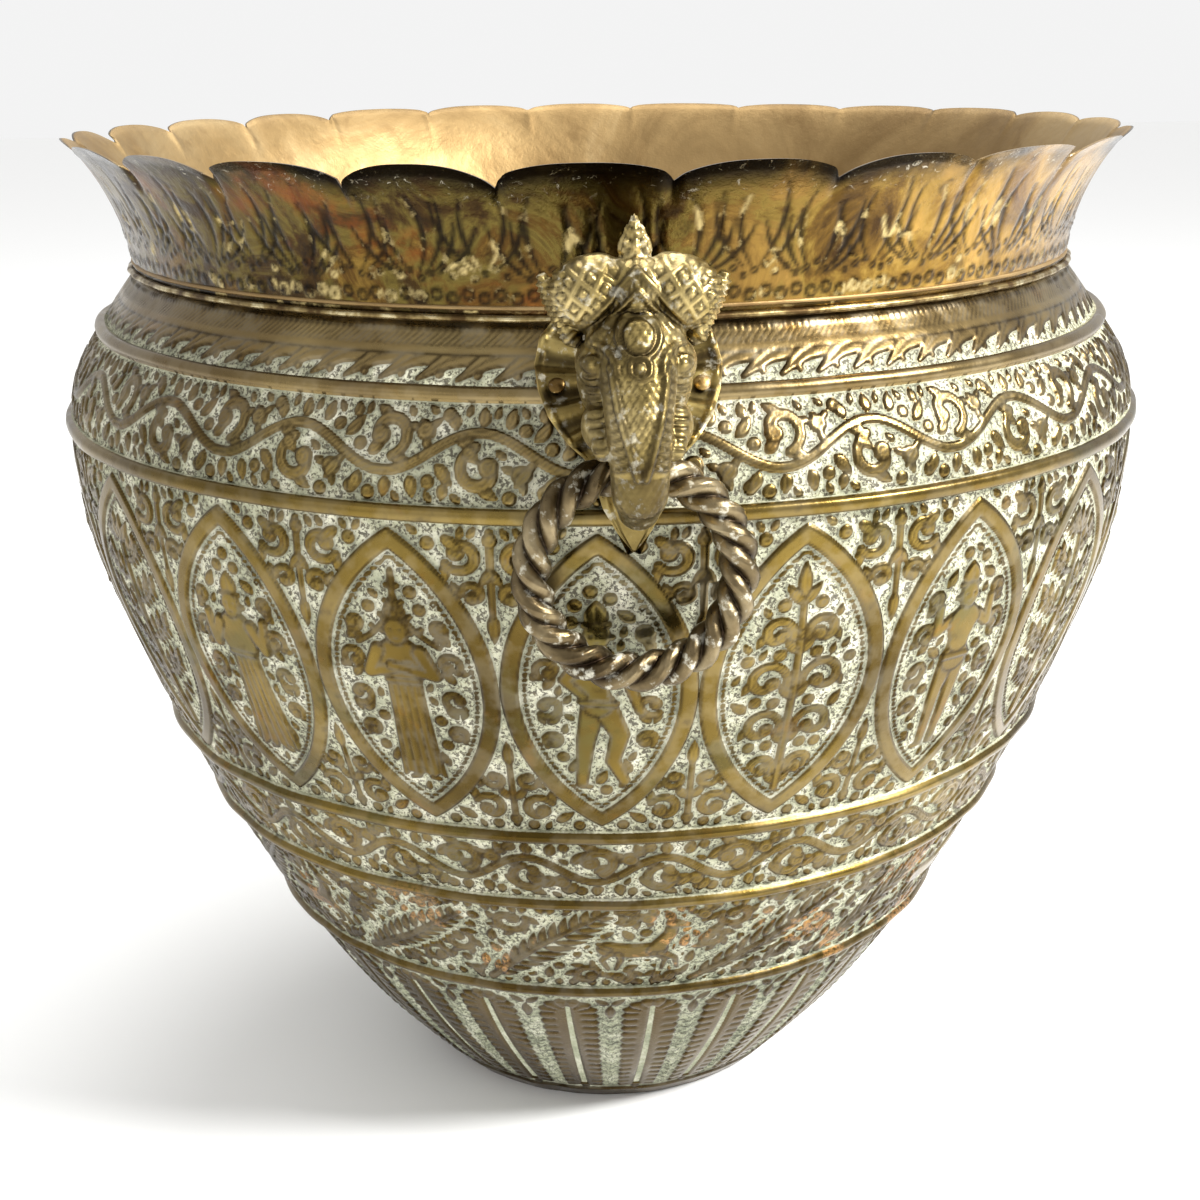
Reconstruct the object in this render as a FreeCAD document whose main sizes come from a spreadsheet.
"""Footed planter pot of chased sheet brass, with two cast handles that hold rope rings.

Frame: millimetres, +Z up, origin at the centre of the underside.  The front handle faces -Y,
the back handle +Y.
"""
import FreeCAD, Part
import math
import os

import Sketcher

os.makedirs("parts", exist_ok=True)
doc = FreeCAD.newDocument("planter_pot")
V = FreeCAD.Vector

# ---------------------------------------------------------------- driving dimensions
DIMENSIONS = {
    "wall": 1.2,                # sheet thickness of the raised body
    "foot_radius": 64.6,
    "neck_radius": 152.2,
    "foot_curve": 300.0,        # radii of the five arcs that make the body's outline
    "flank_curve": 680.0,
    "upper_curve": 149.0,
    "belly_curve": 39.0,
    "shoulder_curve": 309.0,
    "flank_start": 65.0,        # heights at which each arc hands over to the next
    "upper_start": 185.0,
    "belly_start": 241.0,
    "shoulder_start": 260.0,
    "neck_height": 284.8,
    "bead_radius": 1.6,         # raised half-round lines round the body
    "bead_sink": 0.2,
    "collar_wall": 1.0,
    "collar_curve": 69.0,
    "rim_radius": 170.0,
    "rim_height": 325.4,
    "lobe_count": 24,
    "lobe_rise": 3.0,
    "base_thickness": 1.4,
    "base_gap": 0.05,
    "seam_size": 2.4,
    "plate_stand": 1.6,         # the ear plate bridges the beads, so it stands off the wall
    "plate_thickness": 1.8,
    "ring_radius": 26.0,
    "rope_radius": 5.3,
    "ring_reach": 184.5,        # distance from the pot's axis to the ring's pivot
    "pivot_height": 253.0,
    "channel_radius": 7.4,
    "shank_radius": 1.5,
    "hole_radius": 1.55,
    "rivet_head_radius": 2.2,
    "rivet_head_rise": 1.0,
    "burr_radius": 3.8,
    "burr_thickness": 1.0,
    "finial_radius": 3.6,
    "finial_tip": 0.8,
    "finial_length": 9.0,
}
BEAD_HEIGHTS = {"lotus_bead": 71.1, "frieze_bead": 111.9, "medallion_foot_bead": 138.9,
                "medallion_top_bead": 239.0, "shoulder_bead": 268.3}
RIVET_X, RIVET_Z = 18.0, 269.0          # one rivet through each ear
TENON_HEIGHTS = (266.0, 277.0)          # two tenons on the back of the head

NECK_SOLDER_SECTION = [  # from the joint: out and up; the inner corner lies in the groove
    (0.12, 0.05), (1.15, -1.2), (1.75, -0.4), (1.75, 0.7), (1.25, 1.5), (0.5, 1.85)]

sheet = doc.addObject("Spreadsheet::Sheet", "dimensions")
for row, (alias, value) in enumerate(DIMENSIONS.items(), start=1):
    sheet.set(f"A{row}", alias)
    sheet.set(f"B{row}", str(value))
    sheet.setAlias(f"B{row}", alias)
for row, (label, height) in enumerate(BEAD_HEIGHTS.items(), start=len(DIMENSIONS) + 1):
    sheet.set(f"A{row}", label)
    sheet.set(f"B{row}", str(height))
    sheet.setAlias(f"B{row}", label)
doc.recompute()
dim = dict(DIMENSIONS)
finished = []


def bind(obj, **sizes):
    """Tie properties of an object to cells of the sheet."""
    for prop, expression in sizes.items():
        obj.setExpression(prop, expression)
    return obj


def cell(alias):
    return f"dimensions.{alias}"


def finish(obj, label):
    """Give a finished sub-part the name under which it is written."""
    obj.Label = label
    finished.append(obj)
    return obj


def add(kind, name, placement=None, **sizes):
    obj = doc.addObject(kind, name)
    if placement is not None:
        obj.Placement = placement
    return bind(obj, **sizes)


def combine(kind, name, shapes, placement=None):
    obj = doc.addObject(kind, name)
    obj.Shapes = shapes
    if placement is not None:
        obj.Placement = placement
    return obj


def cut(name, base, tool, placement=None):
    obj = doc.addObject("Part::Cut", name)
    obj.Base = base
    obj.Tool = tool
    if placement is not None:
        obj.Placement = placement
    return obj


def new_body(name):
    return doc.addObject("PartDesign::Body", name)


def origin_plane(body, role):
    return next(f for f in body.Origin.OriginFeatures if f.Role == role)


def new_sketch(body, name, role="XZ_Plane"):
    sketch = body.newObject("Sketcher::SketchObject", name)
    sketch.AttachmentSupport = [(origin_plane(body, role), "")]
    sketch.MapMode = "FlatFace"
    return sketch


def measure(sketch, kind, *where_and_size, to):
    """Add a driving size to a sketch and tie it to the sheet."""
    index = sketch.addConstraint(Sketcher.Constraint(kind, *where_and_size))
    sketch.setExpression(f"Constraints[{index}]", to)


def polygon(sketch, points):
    """Closed outline of straight edges, each corner held where it is drawn."""
    corners = [V(x, y, 0) for x, y in points]
    edges = [Part.LineSegment(a, b) for a, b in zip(corners, corners[1:] + corners[:1])]
    sketch.addGeometry(edges, False)
    for i in range(len(edges)):
        sketch.addConstraint(Sketcher.Constraint("Coincident", i, 2, (i + 1) % len(edges), 1))
        sketch.addConstraint(Sketcher.Constraint("Block", i))


def revolve(body, sketch, name):
    turned = body.newObject("PartDesign::Revolution", name)
    turned.Profile = sketch
    turned.ReferenceAxis = (sketch, ["V_Axis"])
    turned.Angle = 360
    return turned


# ---------------------------------------------------------------- outline of the body
ARC_RADII = ("foot_curve", "flank_curve", "upper_curve", "belly_curve", "shoulder_curve")
ARC_ENDS = ("flank_start", "upper_start", "belly_start", "shoulder_start", "neck_height")
FIRST_HEADING = math.radians(45.4)      # lean of the wall at the foot, from the vertical


def outline_arcs():
    """Centre, radius and end points of the five tangent arcs, from the foot to the neck."""
    heading = FIRST_HEADING
    start = V(dim["foot_radius"], 0, 0)
    arcs = []
    for radius_name, end_name in zip(ARC_RADII, ARC_ENDS):
        radius, top = dim[radius_name], dim[end_name]
        centre = start - V(math.cos(heading), -math.sin(heading), 0) * radius
        heading = math.asin((centre.y - top) / radius)
        end = centre + V(math.cos(heading), -math.sin(heading), 0) * radius
        arcs.append((centre, radius, start, end))
        start = end
    return arcs


arcs = outline_arcs()
dim["neck_radius"] = round(arcs[-1][3].x, 3)
sheet.set(sheet.getCellFromAlias("neck_radius"), str(dim["neck_radius"]))
doc.recompute()


def wall_at(height):
    """Outer radius of the body at a height, and the wall's outward lean above the level."""
    centre, radius, _, _ = next(a for a in arcs if height <= a[3].y)
    lean = math.asin((height - centre.y) / radius)
    return centre.x + radius * math.cos(lean), lean


def outline_sketch(body):
    """Half section of the solid form: five tangent arcs closed along the pot's axis."""
    sketch = new_sketch(body, body.Name + "_outline")
    for centre, radius, start, end in arcs:
        circle = Part.Circle(centre, V(0, 0, 1), radius)
        first = math.atan2(start.y - centre.y, start.x - centre.x)
        last = math.atan2(end.y - centre.y, end.x - centre.x)
        sketch.addGeometry(Part.ArcOfCircle(circle, first, last), False)
    neck, foot = arcs[-1][3], arcs[0][2]
    on_axis_top, on_axis_foot = V(0, neck.y, 0), V(0, 0, 0)
    sketch.addGeometry(Part.LineSegment(neck, on_axis_top), False)
    sketch.addGeometry(Part.LineSegment(on_axis_top, on_axis_foot), False)
    sketch.addGeometry(Part.LineSegment(on_axis_foot, foot), False)
    last_arc = len(arcs) - 1
    top_line, axis_line, foot_line = last_arc + 1, last_arc + 2, last_arc + 3
    for i in range(last_arc):
        sketch.addConstraint(Sketcher.Constraint("Tangent", i, 2, i + 1, 1))
    sketch.addConstraint(Sketcher.Constraint("Coincident", last_arc, 2, top_line, 1))
    sketch.addConstraint(Sketcher.Constraint("Coincident", top_line, 2, axis_line, 1))
    sketch.addConstraint(Sketcher.Constraint("Coincident", axis_line, 2, foot_line, 1))
    sketch.addConstraint(Sketcher.Constraint("Coincident", foot_line, 2, 0, 1))
    sketch.addConstraint(Sketcher.Constraint("Coincident", axis_line, 2, -1, 1))
    sketch.addConstraint(Sketcher.Constraint("Horizontal", top_line))
    sketch.addConstraint(Sketcher.Constraint("Vertical", axis_line))
    sketch.addConstraint(Sketcher.Constraint("Horizontal", foot_line))
    measure(sketch, "DistanceX", -1, 1, 0, 1, foot.x, to=cell("foot_radius"))
    for i, (radius_name, end_name) in enumerate(zip(ARC_RADII, ARC_ENDS)):
        measure(sketch, "Radius", i, dim[radius_name], to=cell(radius_name))
        measure(sketch, "DistanceY", -1, 1, i, 2, dim[end_name], to=cell(end_name))
    return sketch


# ---------------------------------------------------------------- raised body
def make_form():
    """The solid form of the pot below its neck, used to fit the plates and the solder."""
    body = new_body("form")
    revolve(body, outline_sketch(body), "form_turned")
    return body


def make_shell():
    """Raised sheet shell, open at the neck and at the foot, with its five beads."""
    body = new_body("shell")
    turned = revolve(body, outline_sketch(body), "shell_turned")
    doc.recompute()
    flat = [f"Face{i + 1}" for i, face in enumerate(turned.Shape.Faces)
            if isinstance(face.Surface, Part.Plane)]
    wall = body.newObject("PartDesign::Thickness", "shell_wall")
    wall.Base = (turned, flat)
    wall.Reversed = True
    bind(wall, Value=cell("wall"))
    doc.recompute()
    beads = new_sketch(body, "shell_beads")
    for i, (name, height) in enumerate(BEAD_HEIGHTS.items()):
        radius, _ = wall_at(height)
        centre = V(radius - dim["bead_sink"], height, 0)
        beads.addGeometry(Part.Circle(centre, V(0, 0, 1), dim["bead_radius"]), False)
        measure(beads, "DistanceY", -1, 1, i, 3, height, to=cell(name))
        measure(beads, "Radius", i, dim["bead_radius"], to=cell("bead_radius"))
        beads.addConstraint(Sketcher.Constraint("DistanceX", -1, 1, i, 3, centre.x))
    revolve(body, beads, "shell_bead_rings")
    return body


# ---------------------------------------------------------------- collar
CUT_MARGIN = 10.0                       # how far a cutter reaches past what it cuts


def make_collar():
    """Flared collar with a scalloped edge, standing on the neck of the body."""
    body = new_body("collar_sheet")
    sketch = new_sketch(body, "collar_section")
    foot = V(dim["neck_radius"], dim["neck_height"], 0)
    rim = V(dim["rim_radius"], dim["rim_height"], 0)
    chord = rim - foot
    middle = (foot + rim) * 0.5
    reach = math.sqrt(dim["collar_curve"] ** 2 - (chord.Length / 2) ** 2)
    centre = middle + V(chord.y, -chord.x, 0).normalize() * reach

    def arc(radius, low, high):
        angles = []
        for height in (high, low):
            angles.append(math.pi - math.asin((height - centre.y) / radius))
        return Part.ArcOfCircle(Part.Circle(centre, V(0, 0, 1), radius), *angles)

    inner_curve = dim["collar_curve"] + dim["collar_wall"]
    outer = arc(dim["collar_curve"], foot.y, rim.y)
    inner = arc(inner_curve, foot.y, rim.y)
    sketch.addGeometry([outer, inner], False)
    ends = [(outer.StartPoint, inner.StartPoint), (outer.EndPoint, inner.EndPoint)]
    for a, b in ends:
        sketch.addGeometry(Part.LineSegment(a, b), False)
    for line, end in ((2, 1), (3, 2)):
        sketch.addConstraint(Sketcher.Constraint("Coincident", line, 1, 0, end))
        sketch.addConstraint(Sketcher.Constraint("Coincident", line, 2, 1, end))
        sketch.addConstraint(Sketcher.Constraint("Horizontal", line))
    sketch.addConstraint(Sketcher.Constraint("Coincident", 0, 3, 1, 3))
    measure(sketch, "Radius", 0, dim["collar_curve"], to=cell("collar_curve"))
    measure(sketch, "Radius", 1, inner_curve, to=cell("collar_curve") + " + " + cell("collar_wall"))
    measure(sketch, "DistanceX", -1, 1, 0, 2, foot.x, to=cell("neck_radius"))
    measure(sketch, "DistanceY", -1, 1, 0, 2, foot.y, to=cell("neck_height"))
    measure(sketch, "DistanceX", -1, 1, 0, 1, rim.x, to=cell("rim_radius"))
    measure(sketch, "DistanceY", -1, 1, 0, 1, rim.y, to=cell("rim_height"))
    flare = revolve(body, sketch, "collar_flare")
    doc.recompute()

    # One valley between two lobes; each side of it is a quarter of a round-topped lobe.
    count, rise = int(dim["lobe_count"]), dim["lobe_rise"]
    half = math.pi * dim["rim_radius"] / count
    lobe_curve = (half ** 2 + rise ** 2) / (2 * rise)
    valley = new_sketch(body, "valley_section")
    spread = math.asin(half / lobe_curve)
    top = rim.y
    straight_up = math.pi / 2
    for side, span in ((-1, (straight_up - spread, straight_up)), (1, (straight_up, straight_up + spread))):
        circle = Part.Circle(V(side * half, top - lobe_curve, 0), V(0, 0, 1), lobe_curve)
        valley.addGeometry(Part.ArcOfCircle(circle, *span), False)
    clear = top + rise
    corners = [V(-half, top, 0), V(-half, clear, 0), V(half, clear, 0), V(half, top, 0)]
    for a, b in zip(corners, corners[1:]):
        valley.addGeometry(Part.LineSegment(a, b), False)
    for i in range(5):
        valley.addConstraint(Sketcher.Constraint("Block", i))
    pocket = body.newObject("PartDesign::Pocket", "valley")
    pocket.Profile = valley
    pocket.Type = 0
    pocket.Length = dim["rim_radius"] + CUT_MARGIN
    pocket.Reversed = True
    doc.recompute()
    if pocket.Shape.BoundBox.YMin > flare.Shape.BoundBox.YMin + 0.5 or \
            abs(pocket.Shape.Volume - flare.Shape.Volume) < 1:
        raise RuntimeError("the valley cuts nothing")
    ring = body.newObject("PartDesign::PolarPattern", "valleys")
    ring.Originals = [pocket]
    ring.Axis = (sketch, ["V_Axis"])
    ring.Angle = 360
    bind(ring, Occurrences=cell("lobe_count"))
    body.Tip = ring
    return body


# ---------------------------------------------------------------- base and solder
def make_base():
    """Flat disc let into the foot; its edge follows the lean of the wall."""
    lean = math.tan(FIRST_HEADING)
    inner = dim["foot_radius"] - dim["wall"] / math.cos(FIRST_HEADING) - dim["base_gap"]
    disc = add("Part::Cone", "base_disc", Height=cell("base_thickness"))
    disc.Radius1 = inner
    disc.Radius2 = inner + dim["base_thickness"] * lean * 0.98
    return disc


def make_base_seam():
    """Fillet of solder in the corner between the disc and the wall, inside the pot."""
    body = new_body("base_seam_body")
    sketch = new_sketch(body, "seam_section")
    low, size = dim["base_thickness"], dim["seam_size"]
    slope = math.tan(FIRST_HEADING) * 0.98
    wall_foot = dim["foot_radius"] - dim["wall"] / math.cos(FIRST_HEADING) - 0.1
    polygon(sketch, [(wall_foot + low * slope - size, low), (wall_foot + low * slope, low),
                     (wall_foot + (low + size) * slope, low + size)])
    revolve(body, sketch, "seam_ring")
    return body


def make_neck_solder():
    """Round bead of solder in the groove where the collar stands on the body."""
    body = new_body("neck_solder_body")
    sketch = new_sketch(body, "neck_solder_section")
    neck, top = dim["neck_radius"], dim["neck_height"]
    polygon(sketch, [(neck + x, top + z) for x, z in NECK_SOLDER_SECTION])
    revolve(body, sketch, "neck_solder_ring")
    return body


# ---------------------------------------------------------------- handles
HEAD_SIDE = [  # distance from the pot's axis, height: back of the trunk tip, round the front
    (180.5, 241.5), (199.0, 241.5), (206.0, 245.5), (209.5, 254.0), (208.0, 263.0),
    (205.0, 272.0), (202.5, 281.0), (201.0, 290.0), (198.5, 297.0), (194.0, 303.0),
    (188.5, 306.5), (181.0, 305.5), (173.0, 300.0), (168.0, 293.0), (158.0, 285.0),
    (150.0, 270.0), (150.0, 258.0), (180.5, 250.0)]
HEAD_FRONT = [  # half width, height, from the tip of the trunk to the top of the cap
    (8.0, 240.0), (8.0, 262.0), (12.0, 264.0), (13.5, 268.0), (15.5, 277.0), (15.5, 284.0),
    (20.5, 289.0), (22.3, 297.0), (18.5, 303.5), (10.0, 307.0), (0.0, 305.0)]
PLATE_FRONT = [  # half width, height, from the point of the plate to its top
    (0.0, 231.0), (7.0, 241.5), (10.0, 252.0), (16.0, 255.5), (21.5, 262.0), (24.2, 272.0),
    (22.5, 281.0), (17.0, 284.0)]


def mirrored(half):
    """Whole outline from its right half, listed from the bottom up."""
    left = [(-x, z) for x, z in reversed(half) if x > 0]
    return list(half) + left


def padded(name, points, role, length):
    """Flat outline given a thickness, half of it on each side of its plane."""
    body = new_body(name)
    sketch = new_sketch(body, name + "_outline", role)
    polygon(sketch, points)
    pad = body.newObject("PartDesign::Pad", name + "_pad")
    pad.Profile = sketch
    pad.Length = length
    pad.SideType = 2
    return body


def on_wall(x, height, offset=0.0):
    """Placement on the front of the body, its Z axis along the wall's outward normal."""
    radius, lean = wall_at(height)
    turn = math.asin(x / radius)
    outward = V(math.sin(turn) * math.cos(lean), -math.cos(turn) * math.cos(lean), math.sin(lean))
    spot = V(radius * math.sin(turn), -radius * math.cos(turn), height) + outward * offset
    return FreeCAD.Placement(spot, FreeCAD.Rotation(V(0, 0, 1), outward))


RIVET_SPOTS = [(-RIVET_X, RIVET_Z), (RIVET_X, RIVET_Z)]
TENON_SPOTS = [(0.0, height) for height in TENON_HEIGHTS]
PLATE_FACE = dim["plate_stand"] + dim["plate_thickness"]
BURR_GAP = 0.75                         # a flat burr touches the curved wall only at its edge
TAIL_DEPTH = dim["wall"] + BURR_GAP + dim["burr_thickness"] + 0.3
HOLE_DEPTH = 12.0
HOLLOW_CORNER = V(-9.0, -184.0, 264.0)  # the head is cast hollow at the back
HOLLOW_SIZE = (18.0, 40.0, 17.0)
FRONT_CORNER = V(-40.0, -230.0, 200.0)  # the space in front of the pot that holds one handle
FRONT_SIZE = (80.0, 110.0, 140.0)
FINIAL_FOOT = V(0.0, -188.0, 305.0)
THROUGH_POT = 460.0                     # a blank that passes through the whole pot
HEAD_BLANK = 60.0
TAIL_RADIUS, TAIL_RISE = 2.6, 1.2
TURNED_ROUND = FreeCAD.Placement(V(0, 0, 0), FreeCAD.Rotation(V(0, 0, 1), 180))


def block(name, corner, size):
    box = add("Part::Box", name, FreeCAD.Placement(corner, FreeCAD.Rotation()))
    box.Length, box.Width, box.Height = size
    return box


def holes(side, placement=None):
    """Drilled holes for every rivet and tenon of one handle."""
    drills = []
    for i, (x, height) in enumerate(RIVET_SPOTS + TENON_SPOTS):
        spot = on_wall(x, height, -HOLE_DEPTH / 2)
        drill = add("Part::Cylinder", f"{side}_drill_{i}", spot, Radius=cell("hole_radius"))
        drill.Height = HOLE_DEPTH
        drills.append(drill)
    return combine("Part::MultiFuse", f"{side}_drills", drills, placement)


def shank_and_tail(name, x, height, reach):
    """Shank that runs from a peened tail inside the pot out to `reach` beyond the wall."""
    shank = add("Part::Cylinder", name + "_shank", on_wall(x, height, -TAIL_DEPTH),
                Radius=cell("shank_radius"))
    shank.Height = TAIL_DEPTH + reach
    tail = doc.addObject("Part::Ellipsoid", name + "_tail")
    tail.Radius1, tail.Radius2, tail.Radius3 = TAIL_RISE, TAIL_RADIUS, TAIL_RADIUS
    tail.Angle1, tail.Angle2 = -90, 0
    tail.Placement = on_wall(x, height, -TAIL_DEPTH + 0.2)
    return [shank, tail]


def make_handle(side, turned, form):
    """One cast handle: ear plate, head, rope ring, rivets and the burrs inside the pot."""
    place = TURNED_ROUND if turned else FreeCAD.Placement()
    near = add("Part::Offset", side + "_plate_back")
    near.Source = form
    bind(near, Value=cell("plate_stand"))
    far = add("Part::Offset", side + "_plate_face")
    far.Source = form
    bind(far, Value=cell("plate_stand") + " + " + cell("plate_thickness"))
    head_seat = add("Part::Offset", side + "_head_seat")
    head_seat.Source = form
    bind(head_seat, Value=cell("plate_stand") + " + " + cell("plate_thickness") + " + 0.05")

    front_half = block(side + "_front_half", FRONT_CORNER, FRONT_SIZE)
    outline = padded(side + "_plate_blank", mirrored(PLATE_FRONT), "XZ_Plane", THROUGH_POT)
    layer = cut(side + "_plate_layer", far, near)
    blank = combine("Part::MultiCommon", side + "_plate_bent", [outline, layer, front_half])
    finish(cut(side + "_ear_plate_cut", blank, holes(side + "_plate"), place), side + "_ear_plate")

    silhouette = padded(side + "_head_front", mirrored(HEAD_FRONT), "XZ_Plane", THROUGH_POT)
    profile = padded(side + "_head_side", [(-y, z) for y, z in HEAD_SIDE], "YZ_Plane", HEAD_BLANK)
    rough = combine("Part::MultiCommon", side + "_head_rough", [silhouette, profile, front_half])
    across = FreeCAD.Rotation(V(0, 1, 0), 90)
    channel_end = V(-HEAD_BLANK / 2, -dim["ring_reach"], dim["pivot_height"])
    channel = add("Part::Cylinder", side + "_channel", FreeCAD.Placement(channel_end, across),
                  Radius=cell("channel_radius"))
    channel.Height = HEAD_BLANK
    hollow = block(side + "_hollow", HOLLOW_CORNER, HOLLOW_SIZE)
    on_plate = cut(side + "_head_on_plate", rough, head_seat)
    carved = cut(side + "_head_carved", cut(side + "_head_mouth", on_plate, channel), hollow)
    finial = add("Part::Cone", side + "_finial", FreeCAD.Placement(FINIAL_FOOT, FreeCAD.Rotation()),
                 Radius1=cell("finial_radius"), Radius2=cell("finial_tip"),
                 Height=cell("finial_length") + " + 1")
    tenons = []
    for i, (x, height) in enumerate(TENON_SPOTS):
        tenons += shank_and_tail(f"{side}_tenon_{i}", x, height, HOLE_DEPTH * 2)
    finish(combine("Part::MultiFuse", side + "_head_cast", [carved, finial] + tenons, place),
           side + "_elephant_head")

    ring = add("Part::Torus", side + "_ring_torus", Radius1=cell("ring_radius"),
               Radius2=cell("rope_radius"))
    centre = V(0, -dim["ring_reach"], dim["pivot_height"] - dim["ring_radius"])
    upright = FreeCAD.Placement(centre, FreeCAD.Rotation(V(1, 0, 0), 90))
    ring.Placement = place.multiply(upright)
    finish(ring, side + "_rope_ring")

    rivets, burrs = [], []
    for i, (x, height) in enumerate(RIVET_SPOTS):
        dome = add("Part::Ellipsoid", f"{side}_rivet_dome_{i}", on_wall(x, height, PLATE_FACE + 0.05),
                   Radius1=cell("rivet_head_rise"), Radius2=cell("rivet_head_radius"),
                   Radius3=cell("rivet_head_radius"))
        dome.Angle1, dome.Angle2 = 0, 90
        pieces = shank_and_tail(f"{side}_rivet_{i}", x, height, PLATE_FACE + 0.2)
        rivets.append(combine("Part::MultiFuse", f"{side}_rivet_{i}", [dome] + pieces))
    for i, (x, height) in enumerate(RIVET_SPOTS + TENON_SPOTS):
        spot = on_wall(x, height, -dim["wall"] - BURR_GAP - dim["burr_thickness"])
        washer = add("Part::Cylinder", f"{side}_burr_blank_{i}", spot, Radius=cell("burr_radius"),
                     Height=cell("burr_thickness"))
        bore = add("Part::Cylinder", f"{side}_burr_bore_{i}", on_wall(x, height, -HOLE_DEPTH / 2),
                   Radius=cell("hole_radius"))
        bore.Height = HOLE_DEPTH
        burrs.append(cut(f"{side}_burr_{i}", washer, bore))
    for group, label in ((rivets, "_ear_rivets"), (burrs, "_burrs")):
        pack = doc.addObject("Part::Compound", side + label + "_group")
        pack.Links = group
        pack.Placement = place
        finish(pack, side + label)


form = make_form()
shell = make_shell()
collar = make_collar()
drilled = combine("Part::MultiFuse", "all_drills", [holes("front"), holes("back", TURNED_ROUND)])
finish(cut("belly_cut", shell, drilled), "belly")
finish(collar, "collar")
finish(make_base(), "base_disc")
finish(make_base_seam(), "base_solder")
finish(make_neck_solder(), "neck_solder")
make_handle("front", False, form)
make_handle("back", True, form)
doc.recompute()

for obj in doc.Objects:
    if "Invalid" in obj.State or "Error" in obj.State:
        raise RuntimeError(f"{obj.Name} failed: {obj.State}")
for obj in finished:
    shape = obj.Shape
    if shape.isNull() or not shape.isValid():
        raise RuntimeError(f"{obj.Label} has no valid shape")
    print(f"{obj.Label:22s} solids {len(shape.Solids)}  volume {shape.Volume:10.1f} mm3")
    shape.exportStep(f"parts/{obj.Label}.step")
